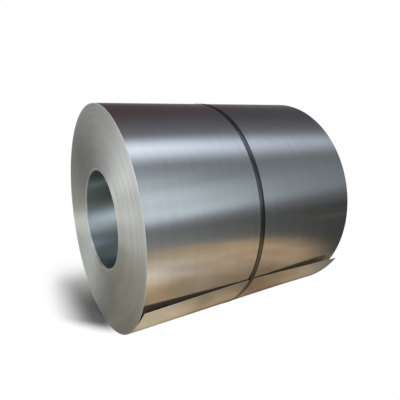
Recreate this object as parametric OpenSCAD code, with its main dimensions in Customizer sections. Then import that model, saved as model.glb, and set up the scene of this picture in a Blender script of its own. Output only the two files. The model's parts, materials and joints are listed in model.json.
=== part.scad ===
// Coil of steel strip, lying on its side on a level floor.
// The strip is wound into one solid body round an open eye. Its loose outer end springs away from
// the body at both corners and is held down in the middle by one steel strap, closed by a seal.
// The coil's axis runs along Y, the near end is at -Y, the loose end is at the front (+X),
// and Z = 0 is the floor under the strap.

/* [Coil] */
// Outside diameter of the wound body
coil_d = 1165; // [900:1:1800]
// Diameter of the eye, as the mandrel leaves it
eye_d = 508; // [400:1:620]
// Width of the strip, which is the length of the coil
strip_w = 1200; // [700:1:1600]
// Thickness of the strip
strip_t = 1.5; // [0.8:0.1:3]

/* [Eye turns] */
// Radial build of the innermost turns, which slid sideways together
slid_build = 9; // [3:0.5:20]
// How far those turns slid towards the far end
slid_by = 6; // [1:0.5:15]

/* [End rings] */
// Rings on each end that show where one run of turns stops and the next begins
ring_count = 15; // [4:1:24]
// Width of a ring's groove
ring_w = 3; // [1:0.5:6]
// Depth of a ring's groove
ring_depth = 1.2; // [0.4:0.1:3]

/* [Loose end] */
// Angle of the loose end's edge under the strap, from the front (+X) upwards
tail_angle = -27.5; // [-60:0.5:10]
// Clear gap under the edge at its near corner
tail_gap_near = 17.5; // [4:0.5:40]
// Clear gap under the edge at its far corner
tail_gap_far = 22; // [4:0.5:40]
// Clear gap under the edge where the strap holds it
tail_gap_strap = 2.6; // [0.8:0.1:4]
// How far the cut edge is out of square over the strip's width, lower at the far end
tail_skew = 12; // [-20:1:20]
// Length of strip that stands free at the near end
tail_free_near = 174; // [100:1:300]
// Length of strip that stands free at the far end
tail_free_far = 480; // [200:1:600]
// Width over which the strap presses the edge flat
tail_press_w = 80; // [30:1:160]

/* [Strap] */
// Width of the strap
strap_w = 25; // [16:1:40]
// Thickness of the strap
strap_t = 0.8; // [0.5:0.1:1.5]
// Place of the strap along the coil, from the middle towards the far end
strap_y = -15; // [-200:1:200]
// Lean of the strap's plane, with its top towards the far end
strap_lean = 1.1; // [-3:0.1:3]

/* [Seal] */
// Angle of the seal, from the front (+X) upwards and over
seal_angle = 150; // [60:1:220]
// Length of the seal along the strap
seal_len = 50; // [30:1:80]
// Sheet thickness of the seal
seal_wall = 0.9; // [0.6:0.1:1.6]
// Length of each strap end that stands out of the seal
strap_end = 15; // [5:1:40]
// Radius of a crimp notch in the seal's edges
notch_r = 3.5; // [2:0.5:5]

/* [Hidden] */

// Clearances and overruns
seat_gap = 0.3;
seal_gap = 0.2;
overrun = 1;

// Coil
coil_r = coil_d / 2;
eye_r = eye_d / 2;
body_r = eye_r + slid_build;
near_y = -(strip_w + slid_by) / 2;
far_y = near_y + strip_w;
ring_pitch = (coil_r - body_r) / ring_count;
ring_wander_share = 0.22;
ring_wander_turn = 137.5;
ring_radii = [for (i = [0 : ring_count - 1])
    body_r + ring_pitch * (i + 0.5 + ring_wander_share * sin(i * ring_wander_turn))];

// Loose end: it leaves the body along its root, a little under the surface
root_sink = 0.6;
edge_inset = 0.4;
tail_steps = 14;
tail_columns = 18;
tail_near_y = near_y + edge_inset;
tail_far_y = far_y - edge_inset;

// Strap: base circle, slope of its plane, and flat stretch where its two ends cross in the seal
strap_r = coil_r + seat_gap;
strap_slope = tan(strap_lean);
axis_z = strap_r + strap_t;
arc_step = 1.5;
lap_low = strap_r + seal_wall + seal_gap;
lap_high = lap_low + strap_t + seal_gap;
lap_half = atan((seal_len / 2 + strap_end) / lap_low);

// Seal
seal_in_w = strap_w + 2 * seal_gap;
seal_in_h = 2 * strap_t + 3 * seal_gap;
seal_out_w = seal_in_w + 2 * seal_wall;
seal_out_h = seal_in_h + 2 * seal_wall;
seal_seam_w = strap_w / 6;
notch_shares = [-0.25, 0.25];

// Place of the strap's middle line along the coil at an angle, and where it holds the loose end
function strap_at(a) = strap_y + strap_r * sin(a) * strap_slope;
hold_y = strap_at(tail_angle);

// Angle that a length covers on the coil's surface
function turn_of(length) = length / coil_r * 180 / PI;

// Share of the way from the strap to a corner of the loose end, eased where the strap presses
function ease(d) = sqrt(d * d + tail_press_w * tail_press_w) - tail_press_w;
function spring_share(y) = ease(y - hold_y) / ease((y < hold_y ? tail_near_y : tail_far_y) - hold_y);

// Stand-off of the loose end's outer face at its edge, and the length that stands free there
function edge_lift(y) = strip_t + tail_gap_strap
    + ((y < hold_y ? tail_gap_near : tail_gap_far) - tail_gap_strap) * spring_share(y);
function free_length(y) = tail_free_near
    + (y < hold_y ? 0 : (tail_free_far - tail_free_near) * (y - hold_y) / (tail_far_y - hold_y));

// Radius of the loose end's outer face, at a share of the way from its root to its edge
function tail_r(y, share) = coil_r - root_sink + (edge_lift(y) + root_sink) * share * share;
function tail_turn(y, share) = tail_angle - turn_of(tail_skew * (y - hold_y) / strip_w)
    - turn_of(free_length(y)) * (1 - share);

// Point in the coil's cross-section, and a run of such points along an arc
function polar(r, a) = [r * cos(a), r * sin(a)];
function arc_points(r, from, to) = let (n = ceil((to - from) / arc_step))
    [for (i = [0 : n]) [r, from + (to - from) * i / n]];

// Angle by which a taut strap, held out at radius r, comes down onto its base circle
function reach(r) = acos(strap_r / r);

// Strap's inner face as radius and angle, from its lower end in the seal round to its upper end
function strap_path() = let (
        low = lap_low / cos(lap_half),
        high = lap_high / cos(lap_half),
        edge_r = coil_r + edge_lift(hold_y) + 2 * seat_gap,
        edge = tail_angle + 360,
        root = tail_turn(hold_y, 0) + 360,
        close = seal_angle + 360
    ) concat(
        [[low, seal_angle - lap_half], [low, seal_angle + lap_half]],
        arc_points(strap_r, seal_angle + lap_half + reach(low), root),
        [for (i = [1 : tail_steps]) let (share = i / tail_steps)
            [max(strap_r, tail_r(hold_y, share) + 2 * seat_gap), tail_turn(hold_y, share) + 360]],
        arc_points(strap_r, edge + reach(edge_r), close - lap_half - reach(high)),
        [[high, close - lap_half], [high, close + lap_half]]
    );

function reversed(list) = [for (i = [len(list) - 1 : -1 : 0]) list[i]];

// Groove points of one end's rings, from the eye outwards
function ring_points(face_y, depth) = [for (r = ring_radii, p = [-1, 0, 1])
    [r + p * ring_w / 2, face_y + (p == 0 ? depth : 0)]];

// Half section of the wound body: radius, then place along the axis
module body_section() {
    polygon(concat(
        [[eye_r, near_y + slid_by], [body_r, near_y + slid_by], [body_r, near_y]],
        ring_points(near_y, ring_depth),
        [[coil_r, near_y], [coil_r, far_y]],
        reversed(ring_points(far_y, -ring_depth)),
        [[body_r, far_y], [body_r, far_y + slid_by], [eye_r, far_y + slid_by]]
    ));
}

// One corner point of the loose end: inner or outer face, row along the arc, column across the strip
function tail_point(outer, row, column) = let (
        y = tail_near_y + (tail_far_y - tail_near_y) * column / tail_columns,
        share = row / tail_steps,
        p = polar(tail_r(y, share) - (outer ? 0 : strip_t), tail_turn(y, share))
    ) [p[0], y, p[1]];

// Loose end as a closed sheet between an outer and an inner grid of points
module loose_end() {
    across = tail_columns + 1;
    grid = (tail_steps + 1) * across;
    points = [for (outer = [true, false], row = [0 : tail_steps], column = [0 : tail_columns])
        tail_point(outer, row, column)];
    outer_faces = [for (row = [0 : tail_steps - 1], column = [0 : tail_columns - 1])
        let (a = row * across + column)
        each [[a, a + 1, a + across + 1], [a, a + across + 1, a + across]]];
    inner_faces = [for (f = outer_faces) [f[2] + grid, f[1] + grid, f[0] + grid]];
    rim = concat(
        [for (column = [0 : tail_columns]) column],
        [for (row = [1 : tail_steps]) row * across + tail_columns],
        [for (column = [tail_columns - 1 : -1 : 0]) tail_steps * across + column],
        [for (row = [tail_steps - 1 : -1 : 1]) row * across]
    );
    rim_faces = [for (i = [0 : len(rim) - 1])
        let (a = rim[i], b = rim[(i + 1) % len(rim)])
        each [[b, a, a + grid], [b, a + grid, b + grid]]];
    polyhedron(points, concat(outer_faces, inner_faces, rim_faces));
}

module coil() {
    color([0.62, 0.63, 0.64])
    translate([0, 0, axis_z])
    union() {
        rotate([-90, 0, 0]) rotate_extrude($fn = 180) body_section();
        loose_end();
    }
}

// Puts what is drawn round the origin into the strap's leaning plane, and keeps it flat on the coil
module at_strap() {
    translate([0, strap_y, axis_z])
    multmatrix([[1, 0, 0, 0], [0, 1, strap_slope, 0], [0, 0, 1, 0], [0, 0, 0, 1]])
    children();
}

// Moves what is drawn on the floor plane to the seal's place, with X along the strap and Z outwards
module at_seal() {
    translate([0, strap_at(seal_angle), axis_z])
    rotate([0, 90 - seal_angle, 0])
    rotate([0, 0, atan(-cos(seal_angle) * strap_slope)])
    translate([0, 0, strap_r])
    children();
}

// Crimp notches, cut through the seal's edges and the strap's edges inside it
module crimp_notches() {
    at_seal()
    for (share = notch_shares, side = [-1, 1])
        translate([share * seal_len, side * seal_out_w / 2, -overrun])
        cylinder(r = notch_r, h = seal_out_h + 2 * overrun, $fn = 48);
}

module strap() {
    path = strap_path();
    inner = [for (p = path) polar(p[0], p[1])];
    outer = [for (p = path) polar(p[0] + strap_t, p[1])];
    color([0.13, 0.14, 0.17])
    difference() {
        at_strap()
        translate([0, strap_w / 2, 0])
        rotate([90, 0, 0])
        linear_extrude(height = strap_w) polygon(concat(inner, reversed(outer)));
        crimp_notches();
    }
}

module strap_seal() {
    color([0.22, 0.23, 0.25])
    difference() {
        at_seal() difference() {
            translate([-seal_len / 2, -seal_out_w / 2, 0]) cube([seal_len, seal_out_w, seal_out_h]);
            translate([-seal_len / 2 - overrun, -seal_in_w / 2, seal_wall])
            cube([seal_len + 2 * overrun, seal_in_w, seal_in_h]);
            translate([-seal_len / 2 - overrun, -seal_seam_w / 2, -overrun])
            cube([seal_len + 2 * overrun, seal_seam_w, seal_wall + 2 * overrun]);
        }
        crimp_notches();
    }
}

coil();
strap();
strap_seal();
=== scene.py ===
# %% [markdown]
# # A strapped coil of rolled steel strip
#
# The object is raw stock: one long strip of cold-rolled steel, wound tightly round an open eye and
# held by a single blued strap with a crimped seal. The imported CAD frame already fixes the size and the
# place of every piece. This lesson adds what the CAD leaves out: the single turns that show on both
# ends, the outermost turn as a real sheet that springs off at its corners, a softly folded strap, and
# the way that light slides along rolled metal.

# %% Load the frame
import json
import math

import bpy
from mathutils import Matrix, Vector

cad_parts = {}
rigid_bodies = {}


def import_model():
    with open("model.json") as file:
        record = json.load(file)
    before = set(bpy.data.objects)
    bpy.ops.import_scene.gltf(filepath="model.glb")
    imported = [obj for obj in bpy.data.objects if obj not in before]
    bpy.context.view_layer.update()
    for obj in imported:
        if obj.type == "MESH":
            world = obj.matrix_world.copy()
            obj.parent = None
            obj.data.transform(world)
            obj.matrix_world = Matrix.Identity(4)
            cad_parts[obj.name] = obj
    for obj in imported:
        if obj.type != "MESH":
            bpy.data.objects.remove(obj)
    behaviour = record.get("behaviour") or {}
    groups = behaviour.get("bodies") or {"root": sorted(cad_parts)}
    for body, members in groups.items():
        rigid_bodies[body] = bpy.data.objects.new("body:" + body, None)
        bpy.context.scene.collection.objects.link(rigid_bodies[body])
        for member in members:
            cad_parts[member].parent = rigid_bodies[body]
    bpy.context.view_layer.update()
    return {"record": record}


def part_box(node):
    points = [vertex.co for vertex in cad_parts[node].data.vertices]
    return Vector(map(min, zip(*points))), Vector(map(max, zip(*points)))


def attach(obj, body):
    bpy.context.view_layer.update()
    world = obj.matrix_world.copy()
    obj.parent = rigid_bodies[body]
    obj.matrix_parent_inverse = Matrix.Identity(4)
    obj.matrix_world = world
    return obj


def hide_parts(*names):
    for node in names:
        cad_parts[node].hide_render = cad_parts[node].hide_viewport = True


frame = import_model()
scene = bpy.context.scene
scene.view_settings.view_transform = "Standard"

# %% [markdown]
# ## Sizes
#
# Whatever the frame knows is read from it: the eye's radius and length from its mount, the ends from
# the coil's box, the strap from its own box. The shape of the sprung loose end follows a formula in
# the part's source, so its few values are written here again, in metres.

# %% Sizes of the coil, the loose end and the strap
eye_mount = next(m for m in frame["record"]["mounts"] if m["name"] == "eye")
EYE_R = eye_mount["dims"]["r_mm"] / 1000
STRIP_W = eye_mount["dims"]["length_mm"] / 1000
AXIS_Z = eye_mount["pos_m"][2]
coil_low, coil_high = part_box("coil")
NEAR_Y = coil_low.y
FAR_Y = NEAR_Y + STRIP_W
SLID_BY = coil_high.y - FAR_Y
COIL_R = round(coil_high.z - AXIS_Z, 4)
STRIP_T = 0.0015
SLID_BUILD = 0.009
BODY_R = EYE_R + SLID_BUILD
PLY_GAP = 0.0001

TAIL_ANGLE = math.radians(-27.5)
TAIL_GAP_NEAR = 0.0175
TAIL_GAP_FAR = 0.022
TAIL_GAP_STRAP = 0.0026
TAIL_SKEW = 0.012
TAIL_FREE_NEAR = 0.174
TAIL_FREE_FAR = 0.480
TAIL_PRESS_W = 0.080

strap_low, strap_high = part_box("strap")
STRAP_Y = (strap_low.y + strap_high.y) / 2
STRAP_W = 0.025
STRAP_T = 0.0008
STRAP_SLOPE = math.tan(math.radians(1.1))
SEAT_GAP = 0.0003
STRAP_R = COIL_R + SEAT_GAP
HOLD_Y = STRAP_Y + STRAP_R * math.sin(TAIL_ANGLE) * STRAP_SLOPE
SEAL_ANGLE = math.radians(150)
print(f"coil radius {COIL_R:.4f}, eye radius {EYE_R:.4f}")
print(f"inner turns slid by {SLID_BY:.4f}, strap at y {STRAP_Y:.4f}")

# %% [markdown]
# ## Camera
#
# A camera was fitted to the outlines of the coil: the near end, the eye, the far rim and the strap.
# It stands low at the front, to the right of the eye, with no roll.

# %% Camera
CAMERA_PLACE = (1.83239, -1.14692, 1.12555)
CAMERA_BACK = Vector((0.82384, -0.51739, 0.23152))
LENS_MM = 33.584
SENSOR_MM = 36


def new_object(name, data):
    """An object of the scene that holds this data, at the origin."""
    made = bpy.data.objects.new(name, data)
    scene.collection.objects.link(made)
    return made


camera = new_object("photo_camera", bpy.data.cameras.new("photo_camera"))
camera.data.lens = LENS_MM
camera.data.sensor_width = SENSOR_MM
camera.location = CAMERA_PLACE
camera.rotation_euler = CAMERA_BACK.to_track_quat("Z", "Y").to_euler()
scene.camera = camera
print("camera at", tuple(camera.location))

# %% [markdown]
# ## Writing node formulas
#
# Both the meshes and the materials below are node trees. A tree is easier to read as a formula than as
# a list of links, so this small helper adds one node per call and hands back the socket to go on with.

# %% Formula helper
class Formula:
    """Adds nodes to one tree, so that a formula reads as plain calls."""

    def __init__(self, tree):
        self.tree = tree

    def node(self, kind, inputs=None, **settings):
        made = self.tree.nodes.new(kind)
        for name, value in settings.items():
            setattr(made, name, value)
        for key, value in (inputs or {}).items():
            if isinstance(value, bpy.types.NodeSocket):
                self.tree.links.new(value, made.inputs[key])
            else:
                made.inputs[key].default_value = value
        return made

    def math(self, operation, *terms):
        return self.node("ShaderNodeMath", dict(enumerate(terms)), operation=operation).outputs[0]

    def plus(self, first, second):
        return self.math("ADD", first, second)

    def minus(self, first, second):
        return self.math("SUBTRACT", first, second)

    def times(self, first, second):
        return self.math("MULTIPLY", first, second)

    def times_plus(self, first, second, third):
        return self.math("MULTIPLY_ADD", first, second, third)

    def over(self, first, second):
        return self.math("DIVIDE", first, second)

    def length(self, one_way, other_way):
        """Distance that two steps at a right angle make together."""
        return self.math("SQRT", self.times_plus(one_way, one_way, self.times(other_way, other_way)))

    def compass(self, x, y):
        """Turn round the coil, as a share: 0.5 is +X, 0.75 is +Y, 0.25 is -Y, and 0 or 1 is -X."""
        return self.times_plus(self.math("ARCTAN2", y, x), 1 / math.tau, 0.5)

    def place(self):
        return self.node("ShaderNodeTexCoord").outputs["Object"]

    def noise(self, vector, scale, detail):
        terms = {"Vector": vector, "Scale": scale, "Detail": detail}
        return self.node("ShaderNodeTexNoise", terms).outputs[0]

    def xyz(self, x, y, z):
        return self.node("ShaderNodeCombineXYZ", {"X": x, "Y": y, "Z": z}).outputs[0]

    def split(self, vector):
        return self.node("ShaderNodeSeparateXYZ", {"Vector": vector}).outputs

    def ramp(self, value, low, high, to_low=0.0, to_high=1.0):
        terms = {"Value": value, "From Min": low, "From Max": high, "To Min": to_low, "To Max": to_high}
        return self.node("ShaderNodeMapRange", terms, interpolation_type="SMOOTHSTEP").outputs[0]

    def mix(self, share, first, second, blend="MIX"):
        mixed = self.node("ShaderNodeMix", {0: share, 6: first, 7: second},
                          data_type="RGBA", blend_type=blend)
        return mixed.outputs[2]

    def tinted(self, colour, factor):
        return self.mix(1.0, colour, factor, "MULTIPLY")

    def colour_sum(self, *colours):
        total = colours[0]
        for colour in colours[1:]:
            total = self.mix(1.0, total, colour, "ADD")
        return total

    def stops(self, value, levels):
        """A colour ramp with these places and colours, where one number stands for a grey."""
        ramp = self.node("ShaderNodeValToRGB", {"Fac": value})
        ramp.color_ramp.interpolation = "EASE"
        elements = ramp.color_ramp.elements
        elements[0].position, elements[-1].position = levels[0][0], levels[-1][0]
        for spot, _ in levels[1:-1]:
            elements.new(spot)
        for element, (_, colour) in zip(elements, levels):
            element.color = (*colour, 1) if isinstance(colour, tuple) else (colour, colour, colour, 1)
        return ramp.outputs[0]


# %% [markdown]
# ## Steel that was rolled
#
# Rolling draws fine scratches along the strip. On the coil's side they run round it, and on its ends
# every turn's edge is a ring, so a highlight spreads across them: along the axis on the side, and
# outwards from the eye on the ends. The Principled shader does this with Anisotropic and a tangent
# from the piece's own UV map, whose U runs across the scratches and V along them, both in metres.
# Where turns' edges meet the eye and the outer rim, they are a little paler: a painted highlight for
# light that catches the edges there. The stretch of strip that lies under its own loose end is browner
# and darker, and a little less metallic: painted shade for the dim, warm gap under the loose end,
# which the lamps' real light also reaches.

# %% Shared finish groups
def shader_group(name, inputs, outputs):
    """Starts a shader node group with named value inputs and outputs."""
    tree = bpy.data.node_groups.new(name, "ShaderNodeTree")
    for label, kind, value in inputs:
        socket = tree.interface.new_socket(label, in_out="INPUT", socket_type=kind)
        if value is not None:
            socket.default_value = value
    for label, kind in outputs:
        tree.interface.new_socket(label, in_out="OUTPUT", socket_type=kind)
    formula = Formula(tree)
    return formula, formula.node("NodeGroupInput").outputs, formula.node("NodeGroupOutput").inputs


NOISE_RANGE = (0.3, 0.7)
FINE_GRAIN = (700, 2.5)
SLOW_GRAIN = (34, 0.7)


def mill_grain_group():
    """Scratches and slow bands that run along the strip; U is across them."""
    made, given, out = shader_group(
        "Mill grain",
        [("Across", "NodeSocketFloat", 0.0), ("Along", "NodeSocketFloat", 0.0)],
        [("Scratches", "NodeSocketFloat"), ("Bands", "NodeSocketFloat")],
    )
    for label, (across, along), detail in (("Scratches", FINE_GRAIN, 3.0), ("Bands", SLOW_GRAIN, 4.0)):
        stretched = made.xyz(made.times(given["Across"], across), made.times(given["Along"], along), 0)
        made.tree.links.new(made.noise(stretched, 1.0, detail), out[label])
    return made.tree


MILL_GRAIN = mill_grain_group()
SCRATCH_STRENGTH = 0.25
# Paler tone at the eye and the outer rim of the ends: a painted highlight on the turns' edges.
RIM_HIGHLIGHT_TONE = (0.78, 0.79, 0.77)
HIGHLIGHT_AT_EYE = 0.004
HIGHLIGHT_AT_RIM = 0.006
RIM_FADE = 0.002
RIM_FULL = 0.001
# Browner, darker tone for the strip under the loose end: painted shade in the gap, with a little less
# metallic so that real lamp light adds to it.
UNDER_END_SHADE = (0.50, 0.40, 0.24)
UNDER_END_STARTS = 0.040
UNDER_END_FULL = 0.010
UNDER_END_LESS_METAL = 0.04


def metal(name):
    """A plain metal, with its formula and the inputs of its shader."""
    material = bpy.data.materials.new(name)
    material.use_nodes = True
    inputs = material.node_tree.nodes["Principled BSDF"].inputs
    inputs["Metallic"].default_value = 1.0
    return material, Formula(material.node_tree), inputs


def steel_material(name, colour, roughness, anisotropy, band_tone, rough_swing, scratch_depth,
                   highlight_rims=None, painted_shade_from=None):
    """Rolled steel whose highlights spread across its scratches.

    It has a painted highlight inside and outside two radii, and painted shade from a length along the
    strip onwards.
    """
    material, made, shader = metal(name)
    shader["Anisotropic"].default_value = anisotropy
    link = made.tree.links.new
    across, along, _ = made.split(made.node("ShaderNodeUVMap", uv_map="strip").outputs[0])
    grain = made.node("ShaderNodeGroup", node_tree=MILL_GRAIN)
    link(across, grain.inputs["Across"])
    link(along, grain.inputs["Along"])
    dark = (*[c * (1 - band_tone) for c in colour], 1)
    light = (*[min(1, c * (1 + band_tone)) for c in colour], 1)
    tone = made.mix(made.ramp(grain.outputs["Bands"], *NOISE_RANGE), dark, light)
    # Painted highlight: paler rings at the eye and at the outer rim.
    if highlight_rims is not None:
        eye_rim, outer_rim = highlight_rims
        x, _, z = made.split(made.place())
        radius = made.length(x, made.minus(z, AXIS_Z))
        at_eye = made.ramp(radius, eye_rim + RIM_FULL, eye_rim - RIM_FADE)
        outside = made.ramp(radius, outer_rim - RIM_FADE, outer_rim + RIM_FULL)
        tone = made.mix(made.plus(at_eye, outside), tone, (*RIM_HIGHLIGHT_TONE, 1))
    # Painted shade: the strip under the loose end turns browner and darker.
    if painted_shade_from is not None:
        under_end_share = made.ramp(along, painted_shade_from - UNDER_END_STARTS, painted_shade_from + UNDER_END_FULL)
        tone = made.mix(under_end_share, tone, (*UNDER_END_SHADE, 1))
        link(made.times_plus(under_end_share, -UNDER_END_LESS_METAL, 1.0), shader["Metallic"])
    rough = made.ramp(
        grain.outputs["Scratches"], *NOISE_RANGE, roughness - rough_swing, roughness + rough_swing)
    bump = made.node("ShaderNodeBump", {
        "Strength": SCRATCH_STRENGTH, "Distance": scratch_depth, "Height": grain.outputs["Scratches"]})
    tangent = made.node("ShaderNodeTangent", direction_type="UV_MAP", uv_map="strip")
    link(tone, shader["Base Color"])
    link(rough, shader["Roughness"])
    link(bump.outputs[0], shader["Normal"])
    link(tangent.outputs[0], shader["Tangent"])
    return material


STRIP_FACE = steel_material(
    "strip_face", (0.55, 0.55, 0.545), roughness=0.22, anisotropy=0.6, band_tone=0.02,
    rough_swing=0.03, scratch_depth=0.00002, painted_shade_from=math.tau * COIL_R)
STRIP_EDGES = steel_material(
    "strip_edges", (0.54, 0.555, 0.535), roughness=0.33, anisotropy=0.93, band_tone=0.05,
    rough_swing=0.04, scratch_depth=0.00003, highlight_rims=(BODY_R + HIGHLIGHT_AT_EYE, COIL_R - HIGHLIGHT_AT_RIM))
# The eye turns' ends are paler than the other ends: a painted highlight on the eye's lip.
EYE_EDGES_HIGHLIT = steel_material(
    "eye_edges_highlit", (0.70, 0.71, 0.69), roughness=0.33, anisotropy=0.93, band_tone=0.05,
    rough_swing=0.04, scratch_depth=0.00003)
# The eye's wall is darker and cooler than the rest of the steel: painted shade and a painted cool
# reflection for the inside of the eye.
EYE_WALL_SHADED = steel_material(
    "eye_wall_shaded", (0.355, 0.415, 0.425), roughness=0.37, anisotropy=0.9, band_tone=0.03,
    rough_swing=0.03, scratch_depth=0.00002)
CUT_EDGE = steel_material(
    "cut_edge", (0.75, 0.74, 0.70), roughness=0.35, anisotropy=0.0, band_tone=0.05,
    rough_swing=0.05, scratch_depth=0.0001)
print("steel finishes:", [m.name for m in (STRIP_FACE, STRIP_EDGES, EYE_EDGES_HIGHLIT, EYE_WALL_SHADED, CUT_EDGE)])

# %% [markdown]
# ## Growing a mesh from a rule
#
# A wound coil follows a rule: a section of many turns, carried round an axis on a slow spiral.
# That is work for Geometry Nodes. A grid gives rows and columns, and Set Position moves each of its
# points to a radius, an angle and a depth. Because a finished piece has to be a plain mesh, the tree
# runs once on an object with an empty mesh, and its result is kept.

# %% Tree helpers
def geometry_tree(name, inputs):
    """Starts a Geometry Nodes tree with named inputs."""
    tree = bpy.data.node_groups.new(name, "GeometryNodeTree")
    for label, kind, value in inputs:
        socket = tree.interface.new_socket(label, in_out="INPUT", socket_type="NodeSocket" + kind)
        if value is not None:
            socket.default_value = value
    tree.interface.new_socket("Geometry", in_out="OUTPUT", socket_type="NodeSocketGeometry")
    formula = Formula(tree)
    return formula, formula.node("NodeGroupInput").outputs


SHARP_BEND = math.radians(42)


def finish_tree(made, mesh, uv, finish, keep_apart, wall=None, wall_finish=None):
    """Stores the UV, merges seams, marks sharp edges, and ends in Realize Instances and Set Material."""
    stored = made.node("GeometryNodeStoreNamedAttribute", {
        "Geometry": mesh, "Name": "strip", "Value": uv}, data_type="FLOAT2", domain="CORNER")
    merged = made.node("GeometryNodeMergeByDistance", {
        "Geometry": stored.outputs[0], "Distance": keep_apart})
    smooth = made.node("GeometryNodeSetShadeSmooth", {
        "Geometry": merged.outputs[0], "Shade Smooth": True}, domain="FACE")
    bend = made.node("GeometryNodeInputMeshEdgeAngle").outputs["Unsigned Angle"]
    sharp = made.node("GeometryNodeSetShadeSmooth", {
        "Geometry": smooth.outputs[0], "Selection": made.math("GREATER_THAN", bend, SHARP_BEND),
        "Shade Smooth": False}, domain="EDGE")
    real = made.node("GeometryNodeRealizeInstances", {"Geometry": sharp.outputs[0]})
    coated = made.node("GeometryNodeSetMaterial", {"Geometry": real.outputs[0], "Material": finish})
    if wall is not None:
        coated = made.node("GeometryNodeSetMaterial", {
            "Geometry": coated.outputs[0], "Selection": wall, "Material": wall_finish})
    out = made.node("NodeGroupOutput")
    made.tree.links.new(coated.outputs[0], out.inputs[0])
    return made.tree


def plain_copy(owner, name):
    """The mesh that an object has after its modifiers, as a new plain object."""
    depsgraph = bpy.context.evaluated_depsgraph_get()
    mesh = bpy.data.meshes.new_from_object(
        owner.evaluated_get(depsgraph), preserve_all_data_layers=True, depsgraph=depsgraph)
    bpy.data.objects.remove(owner)
    mesh.name = name
    return new_object(name, mesh)


def grow(name, tree, values):
    """Runs a tree once with these inputs and keeps its result as a plain mesh."""
    owner = new_object(name + "_rule", bpy.data.meshes.new(name + "_rule"))
    modifier = owner.modifiers.new("rule", "NODES")
    modifier.node_group = tree
    for item in tree.interface.items_tree:
        if item.item_type == "SOCKET" and item.in_out == "INPUT" and item.name in values:
            modifier[item.identifier] = values[item.name]
    return plain_copy(owner, name)


# %% [markdown]
# ## The wound turns
#
# On the real coil the ends are hundreds of strip edges lying side by side, none quite level with the
# next. The rule below draws a closed section, once along the near end and back along the far end: every
# run of turns has a crown with a shallow groove on each side, a little scatter of its own, and a slow
# wander along its length. A few grooves are deeper, at the same radii as the rings of the CAD solid.
# The section shrinks by one strip thickness as it goes round, as a spiral does, and the last column is
# the step back to the start.

# %% Rule of the wound turns
turns_made, turns_given = geometry_tree("Wound turns", [
    ("Turns", "Int", 107), ("Columns", "Int", 220), ("Start angle", "Float", 0.0),
    ("Inner radius", "Float", 0.2), ("Inner step", "Float", 0.0),
    ("Outer radius", "Float", 0.5), ("Outer step", "Float", 0.0),
    ("Near end", "Float", -0.5), ("Far end", "Float", 0.5), ("Axis height", "Float", 0.5),
    ("Groove", "Float", 0.0003), ("Scatter", "Float", 0.0002), ("Wander", "Float", 0.0005),
    ("Rings", "Int", 15), ("Ring depth", "Float", 0.0012), ("Seed", "Float", 3.0),
    ("End finish", "Material", None), ("Wall finish", "Material", None),
])
ROW_PITCH = 0.00075
LAP_LENGTH = 2.6
NEAR_SIDE_DRAW = 57
WANDER_ROUND = 0.5
WANDER_PER_METRE = 22
RING_TURN = math.radians(137.5)
RING_SWAY = 0.22
WALL_FACING = 0.3
TURNS_SEAM = 1e-5


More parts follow.
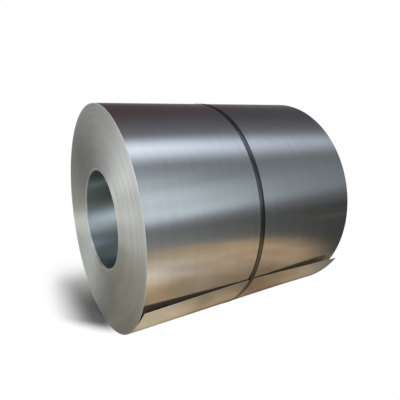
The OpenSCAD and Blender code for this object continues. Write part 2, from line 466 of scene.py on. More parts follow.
def wound_turns_tree(made, given):
    steps = made.times(given["Turns"], 2)
    rows = made.times_plus(steps, 2, 3)
    grid = made.node("GeometryNodeMeshGrid", {
        "Size X": 1.0, "Size Y": 1.0, "Vertices X": rows,
        "Vertices Y": made.plus(given["Columns"], 1)})
    u, v, _ = made.split(made.node("GeometryNodeInputPosition").outputs[0])
    row = made.math("ROUND", made.times(made.plus(u, 0.5), made.minus(rows, 1)))
    column = made.math("ROUND", made.times(made.plus(v, 0.5), given["Columns"]))
    lap = made.over(made.math("MODULO", column, given["Columns"]), made.minus(given["Columns"], 1))
    angle = made.times_plus(lap, -math.tau, given["Start angle"])
    back_row = made.minus(made.times_plus(steps, 2, 1), row)
    share = made.math("MAXIMUM", 0.0, made.over(made.math("MINIMUM", row, back_row), steps))
    near = made.math("MAXIMUM", made.math("LESS_THAN", row, made.plus(steps, 0.5)),
                     made.math("LESS_THAN", back_row, -0.5))
    inner = made.minus(given["Inner radius"], made.times(given["Inner step"], lap))
    outer = made.minus(given["Outer radius"], made.times(given["Outer step"], lap))
    radius = made.times_plus(made.minus(outer, inner), share, inner)
    turn = made.times(share, given["Turns"])
    crown = made.times(made.math("PINGPONG", turn, 0.5), 2)
    groove = made.minus(1.0, crown)
    side = made.times(near, NEAR_SIDE_DRAW)
    chance = made.node("ShaderNodeTexWhiteNoise", {
        "W": made.plus(made.plus(made.math("FLOOR", turn), side), given["Seed"])}, noise_dimensions="1D")
    cosine = made.math("COSINE", angle)
    sine = made.math("SINE", angle)
    wave = made.node("ShaderNodeTexNoise", {
        "Vector": made.xyz(made.times(cosine, WANDER_ROUND), made.times(sine, WANDER_ROUND),
                           made.times(radius, WANDER_PER_METRE)),
        "W": made.plus(side, given["Seed"]), "Scale": 1.0, "Detail": 2.0}, noise_dimensions="4D")
    ring_place = made.times(share, given["Rings"])
    ring = made.math("FLOOR", ring_place)
    sway = made.math("SINE", made.times(ring, RING_TURN))
    ring_middle = made.plus(made.times_plus(sway, RING_SWAY, 0.5), ring)
    off = made.math("ABSOLUTE", made.minus(ring_place, ring_middle))
    turns_per_ring = made.over(given["Turns"], made.math("MAXIMUM", given["Rings"], 1))
    deep = made.math("LESS_THAN", made.times(off, turns_per_ring), 0.5)
    depth = made.times(groove, made.times_plus(deep, given["Ring depth"], given["Groove"]))
    scatter = made.times(chance.outputs["Value"], given["Scatter"])
    depth = made.plus(depth, made.times(crown, scatter))
    depth = made.times_plus(wave.outputs[0], given["Wander"], depth)
    near_place = made.plus(given["Near end"], depth)
    far_place = made.minus(given["Far end"], depth)
    place = made.times_plus(near, made.minus(near_place, far_place), far_place)
    target = made.xyz(made.times(radius, cosine), place,
                      made.times_plus(radius, sine, given["Axis height"]))
    moved = made.node("GeometryNodeSetPosition", {"Geometry": grid.outputs[0], "Position": target})
    flipped = made.node("GeometryNodeFlipFaces", {"Mesh": moved.outputs[0]})
    normal = made.split(made.node("GeometryNodeInputNormal").outputs[0])
    wall = made.math("LESS_THAN", made.math("ABSOLUTE", normal["Y"]), WALL_FACING)
    captured_u, captured_v, _ = made.split(grid.outputs["UV Map"])
    uv = made.xyz(made.times(captured_u, made.times(rows, ROW_PITCH)),
                  made.times(captured_v, LAP_LENGTH), 0.0)
    return finish_tree(made, flipped.outputs[0], uv, given["End finish"], TURNS_SEAM,
                       wall, given["Wall finish"])


WOUND_TURNS = wound_turns_tree(turns_made, turns_given)
print("rule of the wound turns:", len(WOUND_TURNS.nodes), "nodes")

# %% Wound body
OVERLAP = math.radians(56)
wound_body = grow("wound_body", WOUND_TURNS, {
    "Start angle": TAIL_ANGLE - OVERLAP, "Inner radius": BODY_R,
    "Outer radius": COIL_R - STRIP_T * (1 + OVERLAP / math.tau) - PLY_GAP, "Outer step": STRIP_T,
    "Near end": NEAR_Y, "Far end": FAR_Y, "Axis height": AXIS_Z, "Ring depth": 0.0005,
    "Groove": 0.00018, "Scatter": 0.0001, "Wander": 0.0003,
    "End finish": STRIP_EDGES, "Wall finish": STRIP_EDGES})
print("wound body:", len(wound_body.data.polygons), "faces")

# %% [markdown]
# ## The eye's own turns
#
# The innermost turns slid a little towards the far end when the mandrel was drawn out. They are set
# back at the near end and stand proud at the far end. The same rule makes them, with few turns, and
# with the step of the strip's inner end on the bore.

# %% Eye turns
eye_turns = grow("eye_turns", WOUND_TURNS, {
    "Turns": 5, "Columns": 240, "Start angle": math.radians(40),
    "Inner radius": EYE_R + STRIP_T, "Inner step": STRIP_T, "Outer radius": BODY_R - PLY_GAP,
    "Near end": NEAR_Y + SLID_BY, "Far end": FAR_Y + SLID_BY, "Axis height": AXIS_Z, "Seed": 11.0,
    "Wander": 0.0003, "Rings": 0, "Ring depth": 0.0,
    "End finish": EYE_EDGES_HIGHLIT, "Wall finish": EYE_WALL_SHADED})
print("eye turns:", len(eye_turns.data.polygons), "faces")

# %% [markdown]
# ## The outermost turn
#
# The last lap of strip is a sheet of its own, because its loose end springs away from the coil. The
# strap holds it down near the middle, so both corners lift: the near corner over a short length, the
# far corner over a long one. The rule is the same as in the part's source. Solidify gives the sheet its
# thickness, and its rim takes the brighter finish of a sheared edge.

# %% Rule of the outer turn
sheet_made, sheet_given = geometry_tree("Outer turn", [
    ("Steps round", "Int", 830), ("Steps across", "Int", 48), ("Radius", "Float", 0.5),
    ("Near end", "Float", -0.5), ("Far end", "Float", 0.5), ("Axis height", "Float", 0.5),
    ("Thickness", "Float", 0.0015), ("Edge angle", "Float", 0.0), ("Overlap", "Float", 1.0),
    ("Hold place", "Float", 0.0), ("Hold width", "Float", 0.08), ("Hold lift", "Float", 0.003),
    ("Near lift", "Float", 0.02), ("Far lift", "Float", 0.02),
    ("Near free turn", "Float", 0.3), ("Far free turn", "Float", 0.8), ("Skew", "Float", 0.0),
    ("Finish", "Material", None),
])
SHEET_SEAM = 1e-6


def outer_turn_tree(made, given):
    grid = made.node("GeometryNodeMeshGrid", {
        "Size X": 1.0, "Size Y": 1.0,
        "Vertices X": given["Steps round"], "Vertices Y": given["Steps across"]})
    u, v, _ = made.split(made.node("GeometryNodeInputPosition").outputs[0])
    run = made.times(made.plus(u, 0.5), made.plus(given["Overlap"], math.tau))
    width = made.minus(given["Far end"], given["Near end"])
    y = made.times_plus(made.plus(v, 0.5), width, given["Near end"])

    def eased(distance):
        return made.minus(made.length(distance, given["Hold width"]), given["Hold width"])

    past = made.minus(y, given["Hold place"])
    far_side = made.math("GREATER_THAN", past, 0.0)
    near_room = made.minus(given["Hold place"], given["Near end"])
    far_room = made.minus(given["Far end"], given["Hold place"])
    room = made.times_plus(far_side, made.minus(far_room, near_room), near_room)
    spring = made.over(eased(past), eased(room))
    more_lift = made.minus(given["Far lift"], given["Near lift"])
    corner_lift = made.times_plus(far_side, more_lift, given["Near lift"])
    lift = made.times_plus(made.minus(corner_lift, given["Hold lift"]), spring, given["Hold lift"])
    far_share = made.over(made.math("MAXIMUM", past, 0.0), far_room)
    more_free = made.minus(given["Far free turn"], given["Near free turn"])
    free = made.times_plus(far_share, more_free, given["Near free turn"])
    loose = made.math("MAXIMUM", 0.0, made.minus(1.0, made.over(run, free)))
    spiral = made.times(given["Thickness"], made.over(run, math.tau))
    radius = made.minus(given["Radius"], spiral)
    radius = made.times_plus(made.times(loose, loose), lift, radius)
    out_of_square = made.over(made.times(past, given["Skew"]), made.times(width, given["Radius"]))
    angle = made.minus(made.minus(given["Edge angle"], out_of_square), run)
    target = made.xyz(made.times(radius, made.math("COSINE", angle)), y,
                      made.times_plus(radius, made.math("SINE", angle), given["Axis height"]))
    moved = made.node("GeometryNodeSetPosition", {"Geometry": grid.outputs[0], "Position": target})
    round_share, cross_share, _ = made.split(grid.outputs["UV Map"])
    length = made.times(made.plus(given["Overlap"], math.tau), given["Radius"])
    uv = made.xyz(made.times(cross_share, width), made.times(round_share, length), 0.0)
    return finish_tree(made, moved.outputs[0], uv, given["Finish"], SHEET_SEAM)


OUTER_TURN = outer_turn_tree(sheet_made, sheet_given)
print("rule of the outer turn:", len(OUTER_TURN.nodes), "nodes")

# %% Outer turn
EDGE_INSET = 0.0004
sheet = grow("outer_turn_sheet", OUTER_TURN, {
    "Radius": COIL_R,
    "Near end": NEAR_Y + EDGE_INSET, "Far end": FAR_Y - EDGE_INSET, "Axis height": AXIS_Z,
    "Thickness": STRIP_T, "Edge angle": TAIL_ANGLE, "Overlap": OVERLAP,
    "Hold place": HOLD_Y, "Hold width": TAIL_PRESS_W, "Hold lift": STRIP_T + TAIL_GAP_STRAP,
    "Near lift": STRIP_T + TAIL_GAP_NEAR, "Far lift": STRIP_T + TAIL_GAP_FAR,
    "Near free turn": TAIL_FREE_NEAR / COIL_R, "Far free turn": TAIL_FREE_FAR / COIL_R,
    "Skew": TAIL_SKEW, "Finish": STRIP_FACE})
sheet.data.materials.append(CUT_EDGE)
solidify = sheet.modifiers.new("thickness", "SOLIDIFY")
solidify.thickness = STRIP_T
solidify.offset = -1
solidify.material_offset_rim = 1
outer_turn = plain_copy(sheet, "outer_turn")
outer_turn.data.set_sharp_from_angle(angle=SHARP_BEND)
print("outer turn:", len(outer_turn.data.polygons), "faces")

# %% [markdown]
# ## The strap
#
# A steel strap is a flat band pulled tight. It lies on the coil, climbs over the loose end, leaves its
# edge in a straight bridge, and comes down on the coil again. At the back its two ends cross inside the
# seal. The path below has a radius and an angle for each point, and a thin section with rounded edges
# is lofted along it.

# %% Strap path
SEAL_LEN = 0.050
SEAL_WALL = 0.0009
SEAL_GAP = 0.0002
STRAP_END = 0.015
NOTCH_R = 0.0035
SEAL_W = STRAP_W + 2 * SEAL_GAP + 2 * SEAL_WALL
LAP_LOW = STRAP_R + SEAL_WALL + SEAL_GAP
LAP_HIGH = LAP_LOW + STRAP_T + SEAL_GAP
LAP_HALF = math.atan((SEAL_LEN / 2 + STRAP_END) / LAP_LOW)
ARC_STEP = math.radians(0.75)
OVER_STEPS = 30
LAP_STEPS = 80
CRIMP_SHARES = (-0.25, 0.25)


def arc(radius, start, stop):
    count = math.ceil((stop - start) / ARC_STEP)
    return [(radius, start + (stop - start) * i / count) for i in range(count + 1)]


def reach(radius):
    """Angle by which a taut strap, held out at this radius, comes down onto its base circle."""
    return math.acos(STRAP_R / radius)


def lap_angles():
    """Angles of the flat stretch inside the seal, close enough together to show the crimps."""
    return [LAP_HALF * (2 * i / LAP_STEPS - 1) for i in range(LAP_STEPS + 1)]


def strap_path():
    """Strap's inner face as radius and angle, from its lower end in the seal round to its upper end."""
    low = LAP_LOW / math.cos(LAP_HALF)
    high = LAP_HIGH / math.cos(LAP_HALF)
    hold = STRIP_T + TAIL_GAP_STRAP
    free = TAIL_FREE_NEAR / COIL_R
    edge = TAIL_ANGLE + math.tau
    close = SEAL_ANGLE + math.tau
    shares = [i / OVER_STEPS for i in range(1, OVER_STEPS + 1)]
    over = [(max(STRAP_R, COIL_R + hold * share ** 2 + 2 * SEAT_GAP), edge - free * (1 - share))
            for share in shares]
    edge_r = over[-1][0]
    flat_low = [(LAP_LOW / math.cos(a), SEAL_ANGLE + a) for a in lap_angles()]
    flat_high = [(LAP_HIGH / math.cos(a), close + a) for a in lap_angles()]
    return (flat_low + arc(STRAP_R, SEAL_ANGLE + LAP_HALF + reach(low), edge - free) + over
            + arc(STRAP_R, edge + reach(edge_r), close - LAP_HALF - reach(high)) + flat_high)


def pinch(along):
    """Share of the width that a crimp leaves, at a place along the seal."""
    for share in CRIMP_SHARES:
        off = abs(along - share * SEAL_LEN)
        if off < NOTCH_R:
            return 1 - math.sqrt(NOTCH_R ** 2 - off ** 2) / (SEAL_W / 2)
    return 1.0


print("strap path:", len(strap_path()), "points")

# %% Lofting a section along a path
LOFT_SHARP_BEND = math.radians(50)


def bands(rows, count):
    """Four-sided faces between rows of points that each close to a ring."""
    faces = []
    for i in range(rows - 1):
        for j in range(count):
            here, ahead = i * count, (j + 1) % count
            faces.append((here + j, here + count + j, here + count + ahead, here + ahead))
    return faces


def lofted(name, rings, material):
    """Closed mesh through rings of points that all have the same count."""
    count = len(rings[0])
    points = [p for ring in rings for p in ring]
    faces = bands(len(rings), count)
    faces.append(tuple(range(count)))
    faces.append(tuple(reversed(range((len(rings) - 1) * count, len(rings) * count))))
    mesh = bpy.data.meshes.new(name)
    mesh.from_pydata(points, [], faces)
    mesh.materials.append(material)
    mesh.validate()
    mesh.polygons.foreach_set("use_smooth", [True] * len(mesh.polygons))
    mesh.set_sharp_from_angle(angle=LOFT_SHARP_BEND)
    return new_object(name, mesh)


def rounded(half_w, low, high, radius, steps=3):
    """Corner points of a rounded flat section, as offsets across and outwards."""
    corners = [(half_w - radius, high - radius, 0), (-half_w + radius, high - radius, 90),
               (-half_w + radius, low + radius, 180), (half_w - radius, low + radius, 270)]
    section = []
    for across, out, start in corners:
        for i in range(steps + 1):
            a = math.radians(start + 90 * i / steps)
            section.append((across + radius * math.cos(a), out + radius * math.sin(a)))
    return section


# %% [markdown]
# ## Blued strapping
#
# Strapping is heated blue and waxed, so it is a dark, cool metal that mirrors its surroundings dimly,
# with paler places where the wax is rubbed off. The seal is plain sheet, so it is paler and duller.

# %% Strap finish
BROAD_WEAR = 14.0
FINE_WEAR = 400.0
WORN_SHARE = 0.4
WORN_RANGE = (0.5, 0.8)
WAX_SMOOTHER = 0.04
WAX_ROUGHER = 0.06
WAX_STRENGTH = 0.08
WAX_DEPTH = 0.0001


def strapping_material(name, colour, worn, roughness):
    material, made, shader = metal(name)
    link = made.tree.links.new
    place = made.place()
    broad = made.noise(place, BROAD_WEAR, 5.0)
    fine = made.noise(place, FINE_WEAR, 3.0)
    tone = made.mix(made.times(made.ramp(broad, *WORN_RANGE), WORN_SHARE), (*colour, 1), (*worn, 1))
    rough = made.ramp(broad, *NOISE_RANGE, roughness - WAX_SMOOTHER, roughness + WAX_ROUGHER)
    bump = made.node("ShaderNodeBump", {
        "Strength": WAX_STRENGTH, "Distance": WAX_DEPTH, "Height": fine})
    link(tone, shader["Base Color"])
    link(rough, shader["Roughness"])
    link(bump.outputs[0], shader["Normal"])
    return material


BLUED_STRAP = strapping_material(
    "blued_strap", colour=(0.120, 0.126, 0.126), worn=(0.19, 0.18, 0.165), roughness=0.2)
SEAL_STEEL = strapping_material(
    "seal_steel", colour=(0.58, 0.585, 0.59), worn=(0.70, 0.69, 0.67), roughness=0.42)
print("strapping finishes:", BLUED_STRAP.name, SEAL_STEEL.name)

# %% Strap
STRAP_EDGE_R = 0.0003
LAP_REACH = 0.2


def leaning(point):
    """A point drawn round the coil's axis, sheared into the strap's lean, still flat on the coil."""
    return point + Vector((0, STRAP_Y + point.z * STRAP_SLOPE, AXIS_Z))


def strap_rings():
    path = strap_path()
    spots = [Vector((r * math.cos(a), 0, r * math.sin(a))) for r, a in path]
    rings = []
    for i, spot in enumerate(spots):
        ahead = spots[min(i + 1, len(spots) - 1)] - spots[max(i - 1, 0)]
        out = Vector((ahead.z, 0, -ahead.x)).normalized()
        turn = path[i][1] - SEAL_ANGLE
        turn = turn - math.tau if turn > math.pi else turn
        along = LAP_LOW * math.tan(turn) if abs(turn) < LAP_REACH else 1.0
        half_w = STRAP_W / 2 * pinch(along)
        rings.append([leaning(spot + out * o + Vector((0, w, 0)))
                      for w, o in rounded(half_w, 0.0, STRAP_T, STRAP_EDGE_R)])
    return rings


strap = lofted("blued_strap", strap_rings(), BLUED_STRAP)
print("strap:", len(strap.data.polygons), "faces")

# %% [markdown]
# ## The seal
#
# The seal is a strip of sheet steel folded round both ends of the strap, with its two edges meeting on
# the underside, and two pairs of crimps pressed into its sides.

# %% Seal
SEAM_HALF = STRAP_W / 12
FOLD_OUTER_R = 0.0011
FOLD_INNER_R = 0.0003
SEAL_STEPS = 100


def seal_section():
    """Folded sheet section: round the outside, and back along the inside."""
    height = 2 * STRAP_T + 3 * SEAL_GAP + 2 * SEAL_WALL
    outside = rounded(SEAL_W / 2, 0.0, height, FOLD_OUTER_R)
    inside = rounded(SEAL_W / 2 - SEAL_WALL, SEAL_WALL, height - SEAL_WALL, FOLD_INNER_R)
    start = next(i for i, p in enumerate(outside) if p[0] > 0 and p[1] < height / 2)
    outside = outside[start:] + outside[:start]
    inside = inside[start:] + inside[:start]
    return ([(SEAM_HALF, 0.0)] + outside + [(-SEAM_HALF, 0.0), (-SEAM_HALF, SEAL_WALL)]
            + inside[::-1] + [(SEAM_HALF, SEAL_WALL)])


def seal_rings():
    out = Vector((math.cos(SEAL_ANGLE), 0, math.sin(SEAL_ANGLE)))
    ahead = Vector((-math.sin(SEAL_ANGLE), 0, math.cos(SEAL_ANGLE)))
    base = out * STRAP_R
    section = seal_section()
    rings = []
    for i in range(SEAL_STEPS + 1):
        along = SEAL_LEN * (i / SEAL_STEPS - 0.5)
        spot = base + ahead * along
        share = pinch(along)
        rings.append([leaning(spot + out * o + Vector((0, w * share, 0))) for w, o in section])
    return rings


seal = lofted("strap_seal_sleeve", seal_rings(), SEAL_STEEL)
print("seal:", len(seal.data.polygons), "faces")

# %% [markdown]
# ## Floor and light
#
# The floor is a plain sheet. Close to the coil, where the shadow falls, it is a grey matt surface that
# takes the lamps' real shadow, and its grey also darkens the floor round that shadow into a soft halo,
# which is painted shade. Further off it fades to a plain white glow, so that it meets the white
# background without a line. Two soft lamps, at the front right and above, set the side on which the
# shadow falls. Metal would mirror them as hard squares, so the steel doesn't see them.

# %% Floor
def stage_mesh(name, points, faces, material):
    """An object of the set, which isn't part of the coil."""
    mesh = bpy.data.meshes.new(name)
    mesh.from_pydata(points, [], faces)
    mesh.materials.append(material)
    holder = new_object(name, mesh)
    return holder


def bare_material(name):
    """A material with its output only, to be filled with plain shaders."""
    material = bpy.data.materials.new(name)
    material.use_nodes = True
    material.node_tree.nodes.remove(material.node_tree.nodes["Principled BSDF"])
    outlet = material.node_tree.nodes["Material Output"].inputs["Surface"]
    return material, Formula(material.node_tree), outlet


WHITE = (1, 1, 1, 1)
# Grey of the matt floor near the coil: it takes the real shadow and also darkens the floor round it, a
# painted shade.
FLOOR_GREY_AND_PAINTED_SHADE = (0.62, 0.62, 0.615, 1)
MATT_HALF = 0.62
MATT_MIDDLE = 0.50
MATT_FADE = (0.015, 0.245)
FRONT_LIMITS = (-0.044, 0.018)
FRONT_SLOPE = 1.5
BACK_LIMIT = -0.0147
BACK_SLOPE = -0.21


def floor_material():
    """Grey matt under the coil and behind it, where the real shadow falls and the grey adds painted
    shade round it, and a white glow further off.
    """
    material, made, surface = bare_material("pale_floor")
    x, y, _ = made.split(made.place())
    past_middle = made.math("ABSOLUTE", y)
    past_end = made.math("MAXIMUM", 0.0, made.minus(past_middle, MATT_HALF))
    front_limit = made.ramp(past_middle, MATT_MIDDLE, MATT_HALF, *FRONT_LIMITS)
    in_front = made.times_plus(made.plus(x, past_end), FRONT_SLOPE, front_limit)
    behind = made.times_plus(x, BACK_SLOPE, BACK_LIMIT)
    beside = made.math("MAXIMUM", 0.0, made.math("MAXIMUM", in_front, behind))
    away = made.length(beside, past_end)
    near = made.node("ShaderNodeBsdfDiffuse", {"Color": FLOOR_GREY_AND_PAINTED_SHADE})
    far = made.node("ShaderNodeEmission", {"Color": WHITE, "Strength": 1.0})
    both = made.node("ShaderNodeMixShader", {
        0: made.ramp(away, *MATT_FADE), 1: near.outputs[0], 2: far.outputs[0]})
    made.tree.links.new(both.outputs[0], surface)
    return material


FLOOR_HALF = 40.0
corners = [(x * FLOOR_HALF, y * FLOOR_HALF, 0) for x, y in ((-1, -1), (1, -1), (1, 1), (-1, 1))]
stage_mesh("floor", corners, [(0, 1, 2, 3)], floor_material())
print("floor:", 2 * FLOOR_HALF, "m wide")

# %% World and lamps
WORLD_STRENGTH = 0.1
world = bpy.data.worlds.new("studio")
scene.world = world
world.use_nodes = True
background = world.node_tree.nodes["Background"]
background.inputs["Color"].default_value = WHITE
background.inputs["Strength"].default_value = WORLD_STRENGTH


def softbox(name, place, side, power):
    """A square lamp aimed at the floor under the coil, which neither camera nor metal sees."""
    lamp = bpy.data.lights.new(name, "AREA")
    lamp.shape = "SQUARE"
    lamp.size = side
    lamp.energy = power
    holder = new_object(name, lamp)
    holder.location = place
    holder.rotation_euler = Vector(place).to_track_quat("Z", "Y").to_euler()
    holder.visible_camera = False
    holder.visible_glossy = False


softbox("front_key", place=(3.2, 0.9, 1.9), side=1.2, power=360)
softbox("top_fill", place=(0.5, 0.7, 4.0), side=1.8, power=340)

# %% [markdown]
# ## What the steel sees
#
# Bright metal has no colour of its own to speak of: it shows the room round it. On a bare white set it
# would look like chalk. So a hall is put round the coil for its reflections only: a dark roof with one
# long cool skylight, bright walls at the front and the left that get darker to the right, a pale line
# along the horizon behind, and a floor that is brown at the front and grey with darker lanes at the near
# end. A glowing tube in the eye, seen from inside only, stands for the daylight that comes in there.
# These cards glow by themselves and light nothing else. A wide white dome outside them is what the
# camera sees as background.

# %% Roof and walls of the hall
def glow_material(name):
    material, made, surface = bare_material(name)
    glow = made.node("ShaderNodeEmission", {"Strength": 1.0})
    made.tree.links.new(glow.outputs[0], surface)
    return material, made, glow.inputs["Color"]


def hall_shell_material():
    material, made, colour = glow_material("hall_shell")
    towards = made.node("ShaderNodeVectorMath", {0: made.place()}, operation="NORMALIZE").outputs[0]
    x, y, z = made.split(towards)
    turn = made.compass(x, y)
    # Walls: how bright they are on each side, and how they get darker towards the roof.
    wall = made.stops(turn, [
        (0.0, 0.03), (0.039, 0.05), (0.057, 0.70), (0.087, 1.15), (0.12, 1.8), (0.16, 3.0),
        (0.20, 2.3), (0.26, 0.8), (0.34, 0.4), (0.44, 0.4),
        (0.465, (0.96, 1.03, 1.08)), (0.50, (0.92, 1.02, 1.08)),
        (0.555, (0.90, 1.06, 1.15)), (0.575, (0.77, 0.91, 0.99)), (0.602, (0.33, 0.41, 0.45)),
        (0.63, (0.18, 0.225, 0.245)), (0.662, (0.155, 0.195, 0.205)), (0.69, (0.07, 0.09, 0.10)),
        (0.72, 0.07), (0.76, 0.20), (0.90, 0.24), (0.96, 0.08), (1.0, 0.03)])
    quick_drop = made.ramp(z, 0.0, 0.50, 1.0, 0.05)
    slow_drop = made.ramp(z, 0.0, 0.90, 1.0, 0.35)
    late_drop = made.ramp(z, 0.45, 0.95, 1.0, 0.35)
    left_drop = made.times(slow_drop, made.ramp(z, 0.25, 0.48, 1.0, 0.28))
    slow_drop = made.mix(made.ramp(turn, 0.18, 0.23), slow_drop, left_drop)
    drop = made.mix(made.ramp(turn, 0.12, 0.22), quick_drop, slow_drop)
    late_drop = made.mix(made.ramp(turn, 0.70, 0.74), late_drop, quick_drop)
    wall = made.tinted(wall, made.mix(made.ramp(turn, 0.36, 0.46), drop, late_drop))
    # Slanting wisps, one paler streak, and a dark foot at the right break the walls up.
    climb = made.times_plus(turn, -14.0, made.times(z, 20.0))
    wisps = made.noise(made.xyz(made.times(turn, 9.0), climb, 0.0), 1.0, 4.0)
    wall = made.tinted(wall, made.ramp(wisps, *NOISE_RANGE, 0.74, 1.26))
    off_streak = made.plus(made.times_plus(turn, -4.4, z), 2.335)
    streak = made.times(made.ramp(off_streak, -0.05, 0.0), made.ramp(off_streak, 0.05, 0.0))
    streak = made.times(streak, made.ramp(turn, 0.66, 0.60))
    wall = made.tinted(wall, made.ramp(streak, 0.0, 1.0, 0.94, 1.30))
    right_side = made.times(made.ramp(turn, 0.45, 0.53), made.ramp(turn, 0.80, 0.72))
    foot = made.times(right_side, made.ramp(z, 0.28, 0.0))
    wall = made.tinted(wall, made.ramp(foot, 0.0, 1.0, 1.0, 0.15))
    # A pale line along the horizon behind, with haze above it.
    skyline = made.stops(turn, [(0.0, 0.0), (0.70, 0.0), (0.80, 0.55), (0.95, 0.65), (0.98, 0.0)])
    haze = made.ramp(z, 0.54, 0.30, 0.0, 0.13)
    skyline = made.tinted(skyline, made.plus(haze, made.ramp(z, 0.04, 0.28, 1.0, 0.0)))
    # The skylight is a strip along the axis with a soft halo, and it leans over towards its far end.
    lean = made.math("DEGREES", made.math("ARCTAN2", z, x))
    lean = made.times_plus(made.math("MAXIMUM", 0.0, made.minus(y, 0.4)), 14.0, lean)
    core = made.times(made.ramp(lean, 59, 79), made.ramp(lean, 93, 77))
    halo = made.times(made.ramp(lean, 68, 86), made.ramp(lean, 128, 86))
    strip = made.times(made.times_plus(halo, 0.09, core), made.ramp(y, 0.9, 0.3, 0.45, 1.5))
    skylight = made.tinted((0.85, 0.96, 1.12, 1), strip)
    roof = made.mix(made.ramp(turn, 0.86, 0.92), (0.086, 0.076, 0.082, 1), (0.096, 0.066, 0.070, 1))
    made.tree.links.new(made.colour_sum(roof, wall, skyline, skylight), colour)
    return material


# %% Floor of the hall
def hall_floor_material():
    material, made, colour = glow_material("hall_floor")
    place = made.place()
    x, y, _ = made.split(place)

    def distance(from_x, from_y):
        return made.length(made.minus(x, from_x), made.minus(y, from_y))

    def with_spot(ground, middle, outer, inner, light):
        """Adds a soft round patch of light to the ground."""
        spot = made.ramp(distance(*middle), outer, inner)
        return made.colour_sum(ground, made.tinted((*light, 1), spot))

    # Right: brown ground before the coil's side, darker close to the coil, with clouds and spots.
    patch = distance(1.05, -0.35)
    brown = made.stops(made.over(patch, 2.0), [
        (0.03, (1.05, 0.88, 0.72)), (0.12, (0.62, 0.50, 0.38)), (0.25, (0.64, 0.49, 0.33)),
        (0.45, (0.62, 0.44, 0.27))])
    shade = made.stops(x, [(0.30, 0.70), (0.45, 0.66), (0.62, 0.55), (0.72, 0.64), (0.92, 1.0)])
    brown = made.tinted(brown, made.mix(made.ramp(y, 0.35, 0.65), shade, WHITE))
    clouds = made.noise(place, 4.5, 3.0)
    brown = made.tinted(brown, made.ramp(clouds, *NOISE_RANGE, 0.72, 1.28))
    brown = made.tinted(brown, made.ramp(x, 0.24, 0.34, 0.35, 1.0))
    brown = made.tinted(brown, made.mix(made.ramp(x, 1.2, 1.9), WHITE, (0.87, 0.96, 1.04, 1)))
    dark_spot = made.ramp(distance(0.45, 0.27), 0.24, 0.06)
    brown = made.tinted(brown, made.mix(dark_spot, WHITE, (0.74, 0.68, 0.62, 1)))
    brown = with_spot(brown, (1.33, -0.24), 0.45, 0.05, (0.12, 0.19, 0.21))
    brown = with_spot(brown, (0.74, -0.38), 0.24, 0.05, (0.16, 0.08, 0.0))
    brown = with_spot(brown, (0.36, -0.42), 0.30, 0.05, (0.30, 0.27, 0.20))
    beyond = made.stops(made.compass(x, y), [
        (0.50, (0.34, 0.35, 0.35)), (0.53, (0.27, 0.285, 0.28)), (0.555, (0.19, 0.20, 0.195)),
        (0.58, (0.13, 0.138, 0.13)), (0.60, (0.095, 0.10, 0.095)), (0.64, (0.045, 0.05, 0.045)),
        (0.70, 0.04), (0.76, 0.22), (0.85, 0.30)])
    right = made.mix(made.ramp(patch, 0.95, 1.45), brown, beyond)
    right = with_spot(right, (0.38, 0.80), 0.34, 0.05, (0.14, 0.14, 0.11))
    right = with_spot(right, (1.93, 2.25), 0.42, 0.10, (0.075, 0.064, 0.050))
    # Left: three lanes that fan out from the near end, each with its own run of light and dark.
    away = made.over(distance(0.0, -0.6), 8.0)
    open_side = made.stops(away, [
        (0.01, 0.28), (0.035, 0.37), (0.07, 0.50), (0.12, 0.64), (0.185, 1.1), (0.25, 0.75),
        (0.34, 0.95), (0.42, 1.5), (0.55, 2.1), (0.70, 2.3)])
    shaded = made.stops(away, [
        (0.01, 0.17), (0.035, 0.40), (0.07, 0.28), (0.12, 0.25), (0.185, 0.70), (0.24, 0.40),
        (0.30, 0.06), (0.45, 0.06), (0.60, 0.50), (1.0, 1.0)])
    barred = made.stops(away, [
        (0.01, 0.06), (0.035, 0.09), (0.07, 0.13), (0.12, 0.28), (0.19, 0.22), (0.225, 0.60),
        (0.26, 1.3), (0.295, 0.90), (0.32, 0.13), (0.50, 0.12), (1.0, 0.18)])
    around = made.compass(x, made.plus(y, 0.6))
    close_by = made.times(made.ramp(around, 0.03, 0.06), made.ramp(away, 0.13, 0.08))
    barred = made.tinted(barred, made.ramp(close_by, 0.0, 1.0, 1.0, 2.1))
    left = made.mix(made.ramp(around, 0.082, 0.10), barred, shaded)
    left = made.mix(made.ramp(around, 0.13, 0.165), left, open_side)
    warmth = made.mix(made.ramp(away, 0.06, 0.18), (1.03, 0.97, 0.85, 1), (1.0, 0.99, 0.95, 1))
    left = made.tinted(left, warmth)
    toward = made.times_plus(made.minus(x, 0.2), 0.6, made.times(made.plus(y, 0.8), 0.8))
    made.tree.links.new(made.mix(made.ramp(toward, -0.15, 0.35), left, right), colour)
    return material


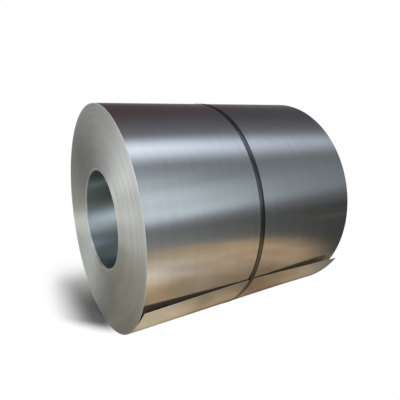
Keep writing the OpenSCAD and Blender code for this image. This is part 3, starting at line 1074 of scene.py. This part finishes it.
# %% Daylight in the eye
def eye_glow_material():
    material, made, surface = bare_material("eye_glow")
    x, y, z = made.split(made.place())
    turn = made.compass(x, made.minus(z, AXIS_Z))
    # The brightest light is at the right, above the axis, and it turns on its way into the eye.
    turn = made.plus(turn, made.ramp(y, -0.52, -0.30, -0.05, 0.07))
    levels = made.stops(turn, [
        (0.0, (0.24, 0.26, 0.265)), (0.056, (0.34, 0.36, 0.365)), (0.156, (0.065, 0.085, 0.08)),
        (0.317, (0.03, 0.04, 0.038)), (0.389, (0.05, 0.065, 0.07)), (0.458, (0.22, 0.25, 0.28)),
        (0.53, (1.00, 1.05, 1.12)), (0.59, (2.00, 2.06, 2.14)), (0.656, (0.55, 0.57, 0.63)),
        (0.736, (0.22, 0.24, 0.25)), (0.792, (0.07, 0.075, 0.075)), (0.872, (0.05, 0.055, 0.06)),
        (0.958, (0.16, 0.17, 0.17)), (1.0, (0.24, 0.26, 0.265))])
    glow = made.node("ShaderNodeEmission", {"Color": levels, "Strength": 1.0})
    clear = made.node("ShaderNodeBsdfTransparent")
    outside = made.node("ShaderNodeNewGeometry").outputs["Backfacing"]
    both = made.node("ShaderNodeMixShader", {0: outside, 1: glow.outputs[0], 2: clear.outputs[0]})
    made.tree.links.new(both.outputs[0], surface)
    return material


# %% Domes, disc and tube
BACKDROP_R = 35.0
HALL_R = 12.0
HALL_ROWS = 12
HALL_COLUMNS = 48
HALL_TOP = math.radians(88)
HALL_FLOOR_Z = 0.0005
EYE_GLOW_R = 0.20
EYE_GLOW_HALF = 0.58


def ring(radius):
    turns = [math.tau * j / HALL_COLUMNS for j in range(HALL_COLUMNS)]
    return [(radius * math.cos(turn), radius * math.sin(turn)) for turn in turns]


def dome(radius):
    """Points and faces of a closed dome that stands on the floor."""
    heights = [HALL_TOP * i / HALL_ROWS for i in range(HALL_ROWS + 1)]
    points = [(x, y, radius * math.sin(height))
              for height in heights for x, y in ring(radius * math.cos(height))]
    top = tuple(range(HALL_ROWS * HALL_COLUMNS, (HALL_ROWS + 1) * HALL_COLUMNS))
    return points, bands(HALL_ROWS + 1, HALL_COLUMNS) + [top]


def reflections_only(holder):
    holder.visible_camera = False
    holder.visible_diffuse = False
    holder.visible_shadow = False


backdrop_white, _, backdrop_colour = glow_material("backdrop_white")
backdrop_colour.default_value = WHITE
backdrop = stage_mesh("backdrop", *dome(BACKDROP_R), backdrop_white)
backdrop.visible_diffuse = False
backdrop.visible_glossy = False
backdrop.visible_shadow = False
reflections_only(stage_mesh("hall_shell", *dome(HALL_R), hall_shell_material()))
disc = [(x, y, HALL_FLOOR_Z) for x, y in ring(HALL_R)]
reflections_only(stage_mesh("hall_floor", disc, [tuple(range(HALL_COLUMNS))], hall_floor_material()))
tube = [(x, y, AXIS_Z + z) for y in (EYE_GLOW_HALF, -EYE_GLOW_HALF) for x, z in ring(EYE_GLOW_R)]
reflections_only(stage_mesh("eye_glow", tube, bands(2, HALL_COLUMNS), eye_glow_material()))
print("hall of", HALL_R, "m and backdrop of", BACKDROP_R, "m radius")

# %% [markdown]
# ## Handing the pieces over
#
# Each piece rides on the frame's one body and hides the CAD solid that it stands for. The table also
# lists the slot of the record that its finish comes from, though the loop doesn't use it.

# %% Ride and replace
PIECES = [
    (wound_body, "coil", "rolled_steel"),
    (eye_turns, "coil", "rolled_steel"),
    (outer_turn, "coil", "rolled_steel"),
    (strap, "strap", "blued_strap"),
    (seal, "strap_seal", "seal_steel"),
]
for piece, node, slot in PIECES:
    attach(piece, "root")
    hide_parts(node)
    triangles = sum(len(p.vertices) - 2 for p in piece.data.polygons)
    print(piece.name, "stands for", node, "with", triangles, "triangles")
